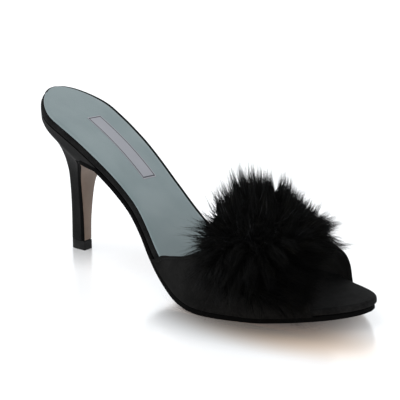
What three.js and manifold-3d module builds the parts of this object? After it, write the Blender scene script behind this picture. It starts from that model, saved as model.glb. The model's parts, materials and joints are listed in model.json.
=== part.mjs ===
// A high heeled marabou mule for the right foot: peep toe vamp, wrapped footbed, leather sole, covered heel.
// Millimetres, +Z up, toe along +X, the inner (big toe) side of the foot along +Y.
// The model is drawn with x = 0 at the back of the heel and y = 0 on the heel's middle, then centred.
import * as THREE from 'three';
import { mergeVertices } from 'three/addons/utils/BufferGeometryUtils.js';
import Module from 'manifold-3d';

const wasm = await Module();
wasm.setup();

// Last
const footLength = 218.4; // back of the sock lining to its toe tip, along the floor
const ballWidth = 73; // widest part of the sock lining
const seatHeight = 96.4; // top of the sock lining at its back
const toeSpring = 7.1; // rise of the toe tip over the tread
const seatRound = 24; // length of the round end of the heel seat
const toeTaper = 66; // length over which the toe draws in
const toeFullness = 2.1; // 1 is pointed, 2 is round

// Bottom, from the foot down
const sockThickness = 1.2;
const footbedThickness = 3.6;
const soleThickness = 2.8;
const clearance = 0.3; // between pieces that are glued together
const sockLength = 160; // the sock lining stops under the vamp
const sockFrontRound = 26;
const footbedMargin = 0.6; // footbed edge outside the sock lining's edge
const edgeRound = 0.7; // softened corners of the bottom pieces
const softShare = 0.25; // most of a strip's thickness or width that a softened corner may take

// Vamp
const wall = 1.5; // suede and lining together
const lastingEase = 0.2; // room beside the footbed, over the clearance, for the vamp's turned under edge
const peepRise = 28.5; // crest above the feather line at the peep edge
const instepRise = 58; // crest above the feather line at the back ends of the vamp
const vampStart = 104; // back ends of the vamp, from the heel back
const throatX = 150; // throat point, from the heel back
const peepX = 185.4; // crest of the peep edge, from the heel back
const peepReach = 12; // how far the outer end of the peep edge runs ahead of its crest
const sectionFullness = 2.1; // 2 is an ellipse, more is squarer

// Heel
const topPieceHeight = 5.6;
const topPieceLength = 12;
const topPieceWidth = 6.6;
const heelTipX = 11.8; // back of the top piece, from the heel back
const breastX = 41.5; // where the breast line would meet the sole, from the heel back
const wingX = 56; // front ends of the heel's wings under the footbed, from the heel back
const bendStart = 0.86; // share of the heel's height where the breast bends forward to the wings
const bendSharpness = 0.1; // 0 is a straight way to the wings, 1 follows the breast line up to the sole
const breastDrawIn = 0.06; // share of its width that the heel loses from its widest place to the breast

// Pompom: its middle, its size without the tips, and its locks
const pomX = 160;
const pomY = -5;
const pomZ = 31.4;
const pomLength = 52;
const pomWidth = 66;
const pomHeight = 56;
const shortestLock = 3.8;
const longestLock = 10.2;
const valleyShare = 0.12; // depth of the valleys round a lock, as a share of its length
const lockSeed = 11;

// How finely curves are cut into facets
const boardRings = 38;
const soleRings = 34;
const flapRings = 9;
const bendRings = 6;
const heelRings = 16;
const heelFacets = 14;
const vampAcross = 30;
const vampAlong = 15;
const pomDetail = 8;
const crowding = 0.6; // share of the facets that crowd towards a round end

const finishes = {
  suede: { color: 0x1b1b1b, roughness: 0.95, metalness: 0 },
  sockLeather: { color: 0x8c9a9c, roughness: 0.5, metalness: 0 },
  soleLeather: { color: 0xa8896a, roughness: 0.55, metalness: 0 },
  rubber: { color: 0x151515, roughness: 0.6, metalness: 0 },
  fur: { color: 0x101012, roughness: 0.9, metalness: 0 },
};

// Plan of the last: half widths as shares of ballWidth, stations as shares of footLength
const planRows = [
  { at: 0.00, outer: 0.292, inner: 0.296 },
  { at: 0.10, outer: 0.336, inner: 0.334 },
  { at: 0.22, outer: 0.321, inner: 0.307 },
  { at: 0.36, outer: 0.290, inner: 0.264 },
  { at: 0.50, outer: 0.434, inner: 0.299 },
  { at: 0.64, outer: 0.590, inner: 0.418 },
  { at: 0.78, outer: 0.510, inner: 0.543 },
  { at: 0.90, outer: 0.455, inner: 0.408 },
  { at: 1.00, outer: 0.450, inner: 0.330 },
];

// Side view of the last: arch as shares of the seat's rise over the tread, spring as shares of toeSpring
const profileRows = [
  { at: 0.00, arch: 1.000, spring: 0 },
  { at: 0.06, arch: 0.914, spring: 0 },
  { at: 0.12, arch: 0.835, spring: 0 },
  { at: 0.18, arch: 0.754, spring: 0 },
  { at: 0.24, arch: 0.661, spring: 0 },
  { at: 0.30, arch: 0.553, spring: 0 },
  { at: 0.36, arch: 0.425, spring: 0 },
  { at: 0.42, arch: 0.281, spring: 0 },
  { at: 0.48, arch: 0.149, spring: 0 },
  { at: 0.54, arch: 0.060, spring: 0 },
  { at: 0.60, arch: 0.016, spring: 0 },
  { at: 0.67, arch: 0, spring: 0 },
  { at: 0.76, arch: 0, spring: 0 },
  { at: 0.84, arch: 0, spring: 0.22 },
  { at: 0.92, arch: 0, spring: 0.60 },
  { at: 1.00, arch: 0, spring: 1 },
];

// How far the sole stands outside the last's edge, in mm
const soleMarginRows = [
  { at: 0.00, margin: 0.4 },
  { at: 0.42, margin: 0.5 },
  { at: 0.56, margin: 2.4 },
  { at: 0.70, margin: 2.2 },
  { at: 0.84, margin: 1.2 },
  { at: 0.92, margin: 1.0 },
  { at: 1.00, margin: -0.8 },
];

// Vamp crest, from the peep edge (0) to the back ends (1): share of the way from peepRise to instepRise
const crestRows = [
  { along: 0.00, rise: 0.00 },
  { along: 0.20, rise: 0.25 },
  { along: 0.45, rise: 0.52 },
  { along: 0.70, rise: 0.80 },
  { along: 0.85, rise: 0.93 },
  { along: 1.00, rise: 1.00 },
];

// Throat line, from the feather line (0) over to the crest (1): share of the way from vampStart to throatX
const throatRows = [
  { up: 0.00, outer: 0.00, inner: 0.04 },
  { up: 0.08, outer: 0.09, inner: 0.12 },
  { up: 0.18, outer: 0.30, inner: 0.32 },
  { up: 0.31, outer: 0.60, inner: 0.61 },
  { up: 0.41, outer: 0.78, inner: 0.79 },
  { up: 0.67, outer: 0.95, inner: 0.95 },
  { up: 1.00, outer: 1.00, inner: 1.00 },
];

// Peep edge, from the feather line (0) over to the crest (1): share of peepReach ahead of peepX
const peepRows = [
  { up: 0.00, outer: 1.00, inner: 0.06 },
  { up: 0.30, outer: 0.65, inner: 0.06 },
  { up: 0.65, outer: 0.22, inner: 0.03 },
  { up: 1.00, outer: 0.00, inner: 0.00 },
];

// Heel from its tip (0) to the seat (1). The back line, the breast line and the half width are shares of
// the way from the tip's to the seat's, and round is the share of the depth that the round back takes.
const heelRows = [
  { up: 0.00, back: 0.000, breast: 0.000, half: 0.000, round: 0.42 },
  { up: 0.20, back: -0.030, breast: 0.012, half: 0.016, round: 0.42 },
  { up: 0.35, back: -0.045, breast: 0.035, half: 0.055, round: 0.42 },
  { up: 0.50, back: -0.027, breast: 0.070, half: 0.110, round: 0.42 },
  { up: 0.62, back: 0.117, breast: 0.130, half: 0.180, round: 0.43 },
  { up: 0.72, back: 0.345, breast: 0.300, half: 0.300, round: 0.45 },
  { up: 0.82, back: 0.655, breast: 0.640, half: 0.530, round: 0.48 },
  { up: 0.88, back: 0.820, breast: 0.820, half: 0.740, round: 0.50 },
  { up: 0.93, back: 0.925, breast: 0.920, half: 0.900, round: 0.51 },
  { up: 1.00, back: 1.000, breast: 1.000, half: 1.000, round: 0.53 },
];

// Smooth curve through rows that never overshoots them
function through(rows, atKey, valueKey) {
  const xs = rows.map((row) => row[atKey]);
  const ys = rows.map((row) => row[valueKey]);
  const steps = xs.slice(1).map((x, i) => x - xs[i]);
  const slopes = steps.map((step, i) => (ys[i + 1] - ys[i]) / step);
  const tangents = xs.map((_, i) => {
    if (i === 0) return slopes[0];
    if (i === xs.length - 1) return slopes[i - 1];
    const before = slopes[i - 1];
    const after = slopes[i];
    if (before * after <= 0) return 0;
    const weightBefore = 2 * steps[i] + steps[i - 1];
    const weightAfter = steps[i] + 2 * steps[i - 1];
    return (weightBefore + weightAfter) / (weightBefore / before + weightAfter / after);
  });
  return (x) => {
    const clamped = THREE.MathUtils.clamp(x, xs[0], xs[xs.length - 1]);
    let i = 0;
    while (i < steps.length - 1 && clamped > xs[i + 1]) i += 1;
    const t = (clamped - xs[i]) / steps[i];
    const t2 = t * t;
    const t3 = t2 * t;
    return (2 * t3 - 3 * t2 + 1) * ys[i] + (t3 - 2 * t2 + t) * steps[i] * tangents[i]
      + (3 * t2 - 2 * t3) * ys[i + 1] + (t3 - t2) * steps[i] * tangents[i + 1];
  };
}

// Depths below the foot
const footbedTop = sockThickness + clearance;
const soleTop = footbedTop + footbedThickness + clearance;
const bottomThickness = soleTop + soleThickness;

const outerHalf = through(planRows, 'at', 'outer');
const innerHalf = through(planRows, 'at', 'inner');
const archShare = through(profileRows, 'at', 'arch');
const springShare = through(profileRows, 'at', 'spring');
const soleMargin = through(soleMarginRows, 'at', 'margin');

// Side line of the last over the floor, and the angle that it falls at towards the toe
function lastHeight(x) {
  const share = x / footLength;
  return bottomThickness + archShare(share) * (seatHeight - bottomThickness) + springShare(share) * toeSpring;
}

function lastFall(x) {
  const reach = 0.5;
  const middle = THREE.MathUtils.clamp(x, reach, footLength - reach);
  return Math.atan((lastHeight(middle - reach) - lastHeight(middle + reach)) / (2 * reach));
}

// A point below the foot: x along the last, depth square to its side line
function below(x, y, depth) {
  const onLast = THREE.MathUtils.clamp(x, 0, footLength);
  const fall = lastFall(onLast);
  const height = lastHeight(onLast) - (x - onLast) * Math.tan(fall);
  return new THREE.Vector3(x - depth * Math.sin(fall), y, height - depth * Math.cos(fall));
}

// Share of its width that the last has: 0 at the very ends, 1 between the round parts
function endShare(share) {
  const back = seatRound / footLength;
  const front = toeTaper / footLength;
  if (share < back) return Math.sqrt(Math.max(0, 1 - ((back - share) / back) ** 2));
  const into = Math.max(0, (share - (1 - front)) / front);
  return Math.sqrt(Math.max(0, 1 - into ** toeFullness));
}

// Edge of a bottom piece: side -1 is the outer (little toe) side, +1 the inner
function edgeY(share, side, margin) {
  const half = side < 0 ? outerHalf(share) : innerHalf(share);
  return side * endShare(share) * (half * ballWidth + margin);
}

// Stations from 0 to 1 that crowd towards both ends, where an outline is round
function stations(count) {
  return Array.from({ length: count + 1 }, (_, i) => {
    const even = i / count;
    return THREE.MathUtils.lerp(even, (1 - Math.cos(Math.PI * even)) / 2, crowding);
  });
}

// Geometry from points and faces, with doubled points merged and its faces turned out
function closed(positions, faces) {
  const geometry = new THREE.BufferGeometry();
  geometry.setAttribute('position', new THREE.Float32BufferAttribute(positions, 3));
  geometry.setIndex(faces);
  const merged = mergeVertices(geometry, 1e-3);
  const index = merged.index.array;
  const points = merged.attributes.position.array;
  const kept = [];
  for (let i = 0; i < index.length; i += 3) {
    const [a, b, c] = [index[i], index[i + 1], index[i + 2]];
    if (a !== b && b !== c && a !== c) kept.push(a, b, c);
  }
  if (signedVolume(points, kept) < 0) {
    for (let i = 0; i < kept.length; i += 3) [kept[i], kept[i + 1]] = [kept[i + 1], kept[i]];
  }
  merged.setIndex(kept);
  return merged;
}

function signedVolume(points, index) {
  const [a, b, c] = [new THREE.Vector3(), new THREE.Vector3(), new THREE.Vector3()];
  let sum = 0;
  for (let i = 0; i < index.length; i += 3) {
    a.fromArray(points, index[i] * 3);
    b.fromArray(points, index[i + 1] * 3);
    c.fromArray(points, index[i + 2] * 3);
    sum += a.dot(b.cross(c)) / 6;
  }
  return sum;
}

// Points and side faces of a skin over closed rings of equal length, and the number of a point in a ring
function skin(rings) {
  const positions = [];
  const faces = [];
  const count = rings[0].length;
  const at = (i, j) => i * count + ((j + count) % count);
  rings.forEach((ring) => ring.forEach((p) => positions.push(p.x, p.y, p.z)));
  for (let i = 0; i < rings.length - 1; i += 1) {
    for (let j = 0; j < count; j += 1) {
      faces.push(at(i, j), at(i, j + 1), at(i + 1, j + 1));
      faces.push(at(i, j), at(i + 1, j + 1), at(i + 1, j));
    }
  }
  return { positions, faces, at, count };
}

// Closed solid over rings. An end ring that is a line closes by itself, any other gets a fan.
function loft(rings, fans) {
  const { positions, faces, at, count } = skin(rings);
  [0, rings.length - 1].forEach((i, end) => {
    if (!fans[end]) return;
    const middle = rings[i].reduce((sum, p) => sum.add(p), new THREE.Vector3()).divideScalar(count);
    const hub = positions.length / 3;
    positions.push(middle.x, middle.y, middle.z);
    for (let j = 0; j < count; j += 1) {
      if (end === 0) faces.push(hub, at(i, j + 1), at(i, j));
      else faces.push(hub, at(i, j), at(i, j + 1));
    }
  });
  return closed(positions, faces);
}

// Closed solid over C shaped rings, with the outer wall first: a strip between the walls closes each end
function shellLoft(rings) {
  const { positions, faces, at, count } = skin(rings);
  [0, rings.length - 1].forEach((i, end) => {
    for (let j = 0; j < count / 2 - 1; j += 1) {
      const [a, b, c, d] = [at(i, j), at(i, j + 1), at(i, count - 2 - j), at(i, count - 1 - j)];
      if (end === 0) faces.push(a, c, b, a, d, c);
      else faces.push(a, b, c, a, c, d);
    }
  });
  return closed(positions, faces);
}

function toSolid(geometry) {
  return new wasm.Manifold(new wasm.Mesh({
    numProp: 3,
    vertProperties: Float32Array.from(geometry.attributes.position.array),
    triVerts: Uint32Array.from(geometry.index.array),
  }));
}

function fromSolid(solid) {
  const mesh = solid.getMesh();
  return closed(Array.from(mesh.vertProperties), Array.from(mesh.triVerts));
}

// Ring round a strip with softened corners: place gives the point for a y and a depth into the strip
function stripRing(outer, inner, thickness, place) {
  const soft = Math.min(edgeRound, thickness * softShare);
  const inset = Math.min(soft, (inner - outer) * softShare);
  const corners = [
    { inward: inset, depth: 0 },
    { inward: 0, depth: soft },
    { inward: 0, depth: thickness - soft },
    { inward: inset, depth: thickness },
  ];
  return [
    ...corners.map(({ inward, depth }) => place(outer + inward, depth)),
    ...corners.reverse().map(({ inward, depth }) => place(inner - inward, depth)),
  ];
}

// Sock lining or footbed: laid on the last from the heel to length, with a round front if it stops short
function board({ length, top, thickness, margin, frontRound }) {
  const rings = stations(boardRings).map((share) => {
    const x = share * (length + 2 * margin) - margin;
    const lastShare = (share * length) / footLength;
    const into = frontRound > 0 ? Math.max(0, 1 - (1 - share) * (length / frontRound)) : 0;
    const narrowing = Math.sqrt(1 - into ** 2);
    const outer = edgeY(lastShare, -1, margin) * narrowing;
    const inner = edgeY(lastShare, 1, margin) * narrowing;
    return stripRing(outer, inner, thickness, (y, depth) => below(x, y, top + depth));
  });
  return loft(rings, [false, false]);
}

// Heel in side view: its back line, its breast line and its half width at a share of the way up
const backAlong = through(heelRows, 'up', 'back');
const breastAlong = through(heelRows, 'up', 'breast');
const halfAlong = through(heelRows, 'up', 'half');
const roundAlong = through(heelRows, 'up', 'round');
const tipLevel = topPieceHeight + clearance;
const seatHalf = edgeY(breastX / footLength, 1, footbedMargin);

function heelLine(up) {
  const mix = THREE.MathUtils.lerp;
  const seatBack = below(0, 0, soleTop);
  const seatBreast = below(breastX, 0, bottomThickness);
  const backX = mix(heelTipX, seatBack.x, backAlong(up));
  const frontX = mix(heelTipX + topPieceLength, seatBreast.x, breastAlong(up));
  return {
    back: new THREE.Vector3(backX, 0, mix(tipLevel, seatBack.z, up)),
    breast: new THREE.Vector3(frontX, 0, mix(tipLevel, seatBreast.z, up)),
    half: mix(topPieceWidth / 2, seatHalf, halfAlong(up)),
    round: roundAlong(up),
  };
}

// The D of the heel between its back line and its front: along runs from the back (0) to the breast (1)
function heelRing(place) {
  const turn = Array.from({ length: heelFacets + 1 }, (_, i) => (Math.PI * i) / heelFacets);
  const side = turn.map((angle) => (1 - Math.cos(angle)) / 2);
  const back = side.slice(1).reverse();
  return [...side.map((along) => place(along, 1)), ...back.map((along) => place(along, -1))];
}

function heelWidth(line, along) {
  const into = Math.max(0, (line.round - along) / line.round);
  return line.half * Math.sqrt(1 - into ** 2) * (1 - breastDrawIn * Math.max(0, along - line.round));
}

// Sole in side view: up the breast, round the bend and along the last to the toe. Each place has the
// face that shows, the way into the shoe and the two edges.
function solePath() {
  const mix = THREE.MathUtils.lerp;
  const showing = (x) => below(x, 0, bottomThickness);
  const flap = Array.from({ length: flapRings + 1 }, (_, i) => {
    const line = heelLine((bendStart * i) / flapRings);
    const half = heelWidth(line, 1);
    return { p: line.breast, outer: -half, inner: half };
  });
  const run = Array.from({ length: soleRings + 1 }, (_, i) => {
    const even = i / soleRings;
    const x = mix(wingX, footLength, mix(even, Math.sin((Math.PI * even) / 2), crowding));
    const share = x / footLength;
    const pastToe = soleMargin(1) * Math.max(0, (x - (footLength - toeTaper)) / toeTaper);
    const margin = soleMargin(share);
    return { p: showing(x + pastToe), outer: edgeY(share, -1, margin), inner: edgeY(share, 1, margin) };
  });
  const [start, end] = [flap[flapRings], run[0]];
  const corner = start.p.clone().lerp(showing(breastX), bendSharpness);
  const bend = new THREE.QuadraticBezierCurve3(start.p, corner, end.p);
  const turn = Array.from({ length: bendRings - 1 }, (_, i) => {
    const share = (i + 1) / bendRings;
    const [outer, inner] = [mix(start.outer, end.outer, share), mix(start.inner, end.inner, share)];
    return { p: bend.getPoint(share), outer, inner };
  });
  const places = [...flap, ...turn, ...run];
  return places.map((place, i) => {
    if (i === 0) return { ...place, inward: new THREE.Vector3(-1, 0, 0) };
    const before = places[i - 1].p;
    const after = places[Math.min(places.length - 1, i + 1)].p;
    return { ...place, inward: new THREE.Vector3(before.z - after.z, 0, after.x - before.x).normalize() };
  });
}

// Grown by a clearance on every side, the sole is what the heel block is cut by
function sole(grow = 0) {
  const rings = solePath().map(({ p, inward, outer, inner }, i) => {
    const start = p.clone().addScaledVector(inward, -grow);
    if (i === 0) start.z -= grow;
    return stripRing(outer - grow, inner + grow, soleThickness + 2 * grow, (y, depth) => {
      const point = start.clone().addScaledVector(inward, depth);
      return point.setY(y);
    });
  });
  return loft(rings, [true, grow > 0]);
}

function heelSection(line, front, level) {
  return heelRing((along, side) => {
    const p = new THREE.Vector3().lerpVectors(line.back, front, along).setY(side * heelWidth(line, along));
    return level === undefined ? p : p.setZ(level);
  });
}

// The block reaches into the sole's thickness and up to the footbed, and is then cut back to the sole
function heelBlock() {
  const seat = (spread) => heelRing((along, side) => {
    const x = along * wingX;
    return below(x, spread * edgeY(x / footLength, side, footbedMargin), soleTop);
  });
  const rings = Array.from({ length: heelRings }, (_, i) => {
    const line = heelLine(i / heelRings);
    const front = line.breast.clone().setX(line.breast.x - soleThickness / 2);
    return heelSection(line, front);
  });
  const block = toSolid(loft([...rings, seat(1), seat(0)], [true, false]));
  return largestPiece(fromSolid(block.subtract(toSolid(sole(clearance)))));
}

function topPiece() {
  const line = heelLine(0);
  return loft([0, topPieceHeight].map((level) => heelSection(line, line.breast, level)), [true, true]);
}

// Vamp section: a half oval from the outer feather line (angle 0) over the crest to the inner one.
// Beside the footbed it stands square to the last, and over the foot it rises straight up.
const crestShare = through(crestRows, 'along', 'rise');

function vampPoint(x, angle, grow) {
  const share = x / footLength;
  const margin = footbedMargin + clearance + lastingEase + wall + grow;
  const along = (peepX - x) / (peepX - vampStart);
  const rise = THREE.MathUtils.lerp(peepRise, instepRise, crestShare(along)) + grow;
  const outer = edgeY(share, -1, margin);
  const inner = edgeY(share, 1, margin);
  const sideways = Math.sign(Math.cos(angle)) * Math.abs(Math.cos(angle)) ** (2 / sectionFullness);
  const y = (outer + inner) / 2 - ((inner - outer) / 2) * sideways;
  const overFoot = rise * Math.abs(Math.sin(angle)) ** (2 / sectionFullness) - (soleTop - clearance);
  const outside = x + margin * (2 * share - 1);
  if (overFoot < 0) return below(outside, y, -overFoot);
  return new THREE.Vector3(outside, y, lastHeight(outside) + overFoot);
}

const throatOuter = through(throatRows, 'up', 'outer');
const throatInner = through(throatRows, 'up', 'inner');
const peepOuter = through(peepRows, 'up', 'outer');
const peepInner = through(peepRows, 'up', 'inner');

// Where the vamp starts and ends at an angle round its section
function vampSpan(angle) {
  const up = 1 - Math.abs(angle - Math.PI / 2) / (Math.PI / 2);
  const isOuter = angle < Math.PI / 2;
  const throatShare = isOuter ? throatOuter(up) : throatInner(up);
  const peepShare = isOuter ? peepOuter(up) : peepInner(up);
  return {
    from: THREE.MathUtils.lerp(vampStart, throatX, throatShare),
    to: peepX + peepReach * peepShare,
  };
}

// One hollow solid: outer and inner wall, joined along the throat, the peep edge and both feather lines
function vamp() {
  return shellLoft(Array.from({ length: vampAlong + 1 }, (_, i) => {
    const shell = (grow) => Array.from({ length: vampAcross + 1 }, (__, j) => {
      const angle = (Math.PI * j) / vampAcross;
      const { from, to } = vampSpan(angle);
      return vampPoint(THREE.MathUtils.lerp(from, to, i / vampAlong), angle, grow);
    });
    return [...shell(0), ...shell(-wall).reverse()];
  }));
}

// Everything inside the vamp and a gap round it, which the fur is cut by
function vampCore() {
  const under = -seatHeight / 4;
  const rings = Array.from({ length: 2 * vampAlong + 1 }, (_, i) => {
    const x = THREE.MathUtils.lerp(vampStart, peepX + pomLength / 2, i / (2 * vampAlong));
    const section = Math.min(x, peepX);
    const arch = Array.from({ length: vampAcross + 1 }, (__, j) => {
      const p = vampPoint(section, (Math.PI * j) / vampAcross, clearance);
      return p.setX(p.x + x - section);
    });
    return [arch[0].clone().setZ(under), ...arch, arch[vampAcross].clone().setZ(under)];
  });
  return toSolid(loft(rings, [true, true]));
}

// The largest piece of a geometry: crumbs that a cut has parted from it are left out
function largestPiece(geometry) {
  const index = Array.from(geometry.index.array);
  const parent = Array.from({ length: geometry.attributes.position.count }, (_, i) => i);
  const root = (i) => {
    let at = i;
    while (parent[at] !== at) at = parent[at];
    return at;
  };
  for (let i = 0; i < index.length; i += 3) {
    parent[root(index[i])] = root(index[i + 1]);
    parent[root(index[i + 1])] = root(index[i + 2]);
  }
  const groups = new Map();
  for (let i = 0; i < index.length; i += 3) {
    const key = root(index[i]);
    if (!groups.has(key)) groups.set(key, []);
    groups.get(key).push(index[i], index[i + 1], index[i + 2]);
  }
  const largest = [...groups.values()].sort((a, b) => b.length - a.length)[0];
  return closed(Array.from(geometry.attributes.position.array), largest);
}

// Steady numbers between 0 and 1 for the locks
function steadyRandom(seed) {
  let state = seed;
  return () => {
    state = (state * 1664525 + 1013904223) % 4294967296;
    return state / 4294967296;
  };
}

// Which points of a ball are the tips of locks: as many as fit with no two side by side, in a mixed order
function lockTips(index, count, random) {
  const neighbours = Array.from({ length: count }, () => new Set());
  for (let i = 0; i < index.length; i += 3) {
    [0, 1, 2].forEach((k) => {
      neighbours[index[i + k]].add(index[i + ((k + 1) % 3)]);
      neighbours[index[i + k]].add(index[i + ((k + 2) % 3)]);
    });
  }
  const tips = new Array(count).fill(false);
  const order = tips.map((_, i) => ({ i, key: random() })).sort((a, b) => a.key - b.key);
  order.forEach(({ i }) => {
    tips[i] = ![...neighbours[i]].some((j) => tips[j]);
  });
  return tips;
}

// Fur ball with pointed locks: every lock is a point of the ball drawn out, with the points round it left low
function pompom() {
  const sphere = new THREE.IcosahedronGeometry(1, pomDetail);
  sphere.deleteAttribute('normal');
  sphere.deleteAttribute('uv');
  const ball = mergeVertices(sphere, 1e-4);
  const index = Array.from(ball.index.array);
  const points = ball.attributes.position;
  const random = steadyRandom(lockSeed);
  const tips = lockTips(index, points.count, random);
  const centre = new THREE.Vector3(pomX, pomY, pomZ);
  const size = new THREE.Vector3(pomLength, pomWidth, pomHeight).divideScalar(2);
  const positions = tips.flatMap((isTip, i) => {
    const way = new THREE.Vector3().fromBufferAttribute(points, i);
    const length = THREE.MathUtils.lerp(shortestLock, longestLock, random());
    const drawnOut = isTip ? length : -valleyShare * length;
    return way.clone().multiply(size).add(centre).addScaledVector(way, drawnOut).toArray();
  });
  return largestPiece(fromSolid(toSolid(closed(positions, index)).subtract(vampCore())));
}

const wholeFoot = {
  length: footLength,
  top: footbedTop,
  thickness: footbedThickness,
  margin: footbedMargin,
  frontRound: 0,
};
const heelToVamp = {
  length: sockLength,
  top: 0,
  thickness: sockThickness,
  margin: 0,
  frontRound: sockFrontRound,
};

const pieces = [
  { name: 'outsole', geometry: sole(), finish: finishes.soleLeather },
  { name: 'footbed', geometry: board(wholeFoot), finish: finishes.suede },
  { name: 'sock_lining', geometry: board(heelToVamp), finish: finishes.sockLeather },
  { name: 'heel', geometry: heelBlock(), finish: finishes.suede },
  { name: 'top_piece', geometry: topPiece(), finish: finishes.rubber },
  { name: 'upper', geometry: vamp(), finish: finishes.suede },
  { name: 'pompom', geometry: pompom(), finish: finishes.fur },
];

const shoe = new THREE.Group();
pieces.forEach(({ name, geometry, finish }) => {
  const mesh = new THREE.Mesh(geometry, new THREE.MeshStandardMaterial(finish));
  mesh.name = name;
  shoe.add(mesh);
});
const box = new THREE.Box3().setFromObject(shoe);
shoe.position.set(-(box.min.x + box.max.x) / 2, -(box.min.y + box.max.y) / 2, 0);

export default shoe;
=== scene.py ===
import json
import math
import random

import bmesh
import bpy
from mathutils import Matrix, Vector, kdtree, noise

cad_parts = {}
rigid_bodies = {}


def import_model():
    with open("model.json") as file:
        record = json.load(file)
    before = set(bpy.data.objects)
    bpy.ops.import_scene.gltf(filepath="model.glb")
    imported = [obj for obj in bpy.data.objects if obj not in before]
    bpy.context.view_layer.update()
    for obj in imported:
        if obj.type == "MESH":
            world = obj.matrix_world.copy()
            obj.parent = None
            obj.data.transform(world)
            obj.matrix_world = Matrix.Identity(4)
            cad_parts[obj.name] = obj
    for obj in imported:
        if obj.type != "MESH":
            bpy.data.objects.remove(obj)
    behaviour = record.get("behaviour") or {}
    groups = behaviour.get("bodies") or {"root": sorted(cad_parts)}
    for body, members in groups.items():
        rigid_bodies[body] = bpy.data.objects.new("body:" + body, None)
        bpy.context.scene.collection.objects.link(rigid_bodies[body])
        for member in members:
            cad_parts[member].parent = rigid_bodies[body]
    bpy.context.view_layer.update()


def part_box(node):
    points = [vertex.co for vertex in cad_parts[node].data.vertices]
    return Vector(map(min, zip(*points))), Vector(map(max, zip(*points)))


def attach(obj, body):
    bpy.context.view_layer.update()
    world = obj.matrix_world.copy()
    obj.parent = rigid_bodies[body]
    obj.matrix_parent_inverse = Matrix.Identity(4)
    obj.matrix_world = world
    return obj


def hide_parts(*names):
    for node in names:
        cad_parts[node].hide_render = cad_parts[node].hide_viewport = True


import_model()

print("frame loaded")

# The last: drawn in millimetres from the back of the heel (x), the heel's middle (y) and the floor (z)
last = {
    "footLength": 218.4,
    "ballWidth": 73,
    "seatHeight": 96.4,
    "toeSpring": 7.1,
    "seatRound": 24,
    "toeTaper": 66,
    "toeFullness": 2.1,
    "heelTipX": 11.8,
}
footLength = last["footLength"]
bottom = {
    "sockThickness": 1.2,
    "footbedThickness": 3.6,
    "soleThickness": 2.8,
    "clearance": 0.3,
    "footbedMargin": 0.6,
    "footbedRound": 1.1,
    "soleRound": 0.55,
    "soleFace": -0.75,  # faces that point further down than this are leather, the others painted edge
    "sockLength": 160,
    "sockFrontRound": 26,
    "lines": (-24, -12, 0, 12, 24),  # where the sheets are cut lengthwise to bend smoothly
}
footbedTop = bottom["sockThickness"] + bottom["clearance"]
soleTop = footbedTop + bottom["footbedThickness"] + bottom["clearance"]
bottomThickness = soleTop + bottom["soleThickness"]


# The step of a rising list that a value lies in
def stepOf(values, value):
    i = 0
    while i < len(values) - 2 and value > values[i + 1]:
        i += 1
    return i


# Smooth curve through (place, value) rows that never overshoots them
def curveThrough(rows):
    xs = [row[0] for row in rows]
    ys = [row[1] for row in rows]
    steps = [b - a for a, b in zip(xs, xs[1:])]
    slopes = [(b - a) / step for a, b, step in zip(ys, ys[1:], steps)]
    tangents = [slopes[0]]
    for i in range(1, len(steps)):
        before, after = slopes[i - 1], slopes[i]
        if before * after <= 0:
            tangents.append(0)
            continue
        weightBefore = 2 * steps[i] + steps[i - 1]
        weightAfter = steps[i] + 2 * steps[i - 1]
        tangents.append((weightBefore + weightAfter) / (weightBefore / before + weightAfter / after))
    tangents.append(slopes[-1])

    def value(x):
        x = min(max(x, xs[0]), xs[-1])
        i = stepOf(xs, x)
        t = (x - xs[i]) / steps[i]
        return ((2 * t**3 - 3 * t**2 + 1) * ys[i] + (t**3 - 2 * t**2 + t) * steps[i] * tangents[i]
                + (3 * t**2 - 2 * t**3) * ys[i + 1] + (t**3 - t**2) * steps[i] * tangents[i + 1])

    return value


# half widths as shares of ballWidth
outerHalf = curveThrough([
    (0, .292), (.10, .336), (.22, .321), (.36, .290), (.50, .434), (.64, .590), (.78, .510), (.90, .455),
    (1, .450)])
innerHalf = curveThrough([
    (0, .296), (.10, .334), (.22, .307), (.36, .264), (.50, .299), (.64, .418), (.78, .543), (.90, .408),
    (1, .330)])
# rise of the arch as a share of the seat's, and of the toe as a share of toeSpring
archShare = curveThrough([
    (0, 1), (.06, .914), (.12, .835), (.18, .754), (.24, .661), (.30, .553), (.36, .425), (.42, .281),
    (.48, .149), (.54, .060), (.60, .016), (.67, 0), (1, 0)])
springShare = curveThrough([(0, 0), (.76, 0), (.84, .22), (.92, .60), (1, 1)])
soleMargin = curveThrough([(0, .4), (.42, .5), (.56, 2.4), (.70, 2.2), (.84, 1.2), (.92, 1), (1, -.8)])


def lastHeight(x):
    share = x / footLength
    rise = last["seatHeight"] - bottomThickness
    return bottomThickness + archShare(share) * rise + springShare(share) * last["toeSpring"]


def lastFall(x):
    middle = min(max(x, 0.5), footLength - 0.5)
    return math.atan(lastHeight(middle - 0.5) - lastHeight(middle + 0.5))


# A point under the foot: x along the last, depth square to its side line
def below(x, y, depth):
    onLast = min(max(x, 0), footLength)
    fall = lastFall(onLast)
    height = lastHeight(onLast) - (x - onLast) * math.tan(fall)
    return Vector((x - depth * math.sin(fall), y, height - depth * math.cos(fall)))


def endShare(share):
    back = last["seatRound"] / footLength
    front = last["toeTaper"] / footLength
    if share < back:
        return math.sqrt(max(0, 1 - ((back - share) / back) ** 2))
    into = max(0, (share - (1 - front)) / front)
    return math.sqrt(max(0, 1 - into ** last["toeFullness"]))


# Edge of a bottom piece at x: side -1 is the outer (little toe) side, +1 the inner
def edgeY(x, side, margin):
    share = x / footLength
    half = outerHalf(share) if side < 0 else innerHalf(share)
    return side * endShare(share) * (half * last["ballWidth"] + margin)


tipLow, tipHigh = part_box("top_piece")
origin = Vector((tipLow.x - last["heelTipX"] / 1000, (tipLow.y + tipHigh.y) / 2, 0))


def toFrame(point):
    return origin + point / 1000


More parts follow.
